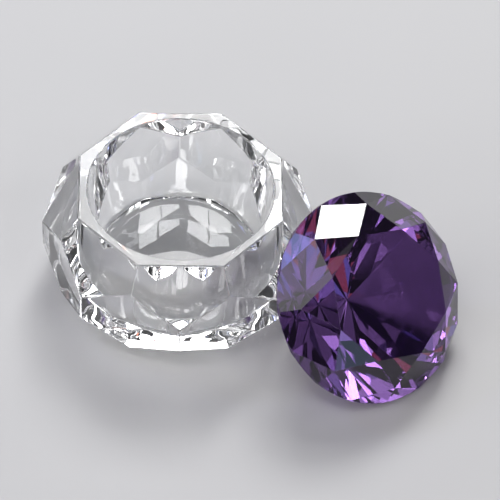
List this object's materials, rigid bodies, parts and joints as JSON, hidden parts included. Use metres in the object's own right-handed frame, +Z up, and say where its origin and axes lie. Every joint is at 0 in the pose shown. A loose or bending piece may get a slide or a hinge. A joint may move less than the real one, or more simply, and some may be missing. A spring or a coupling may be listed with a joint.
{
  "type": "crystal dappen dish with gem lid",
  "caption": "Faceted clear crystal cup with a tapered round bore for nail liquids, and a loose purple brilliant-cut lid lying beside it.",
  "frame": {"origin": "centre of the cup's flat base, on the surface that the cup stands on", "axes": "+Z up out of the cup's mouth, square to its rim, +X to the right and -Y towards the viewer, square to sides of the cup's octagonal rim; the lid lies off +X and -Y"},
  "size_m": [0.0799, 0.062, 0.0282],
  "materials": {
    "clear_crystal": "fire-polished clear",
    "purple_crystal": "cut and polished, purple"
  },
  "bodies": {
    "cup": {"crystal_cup": "clear_crystal"},
    "lid": {"gem_lid": "purple_crystal"}
  },
  "joints": [
    {"name": "lid_lift", "type": "slide", "parent": "cup", "child": "lid", "axis": [0, 0, 1], "range_m": [0, 0.04]}
  ]
}
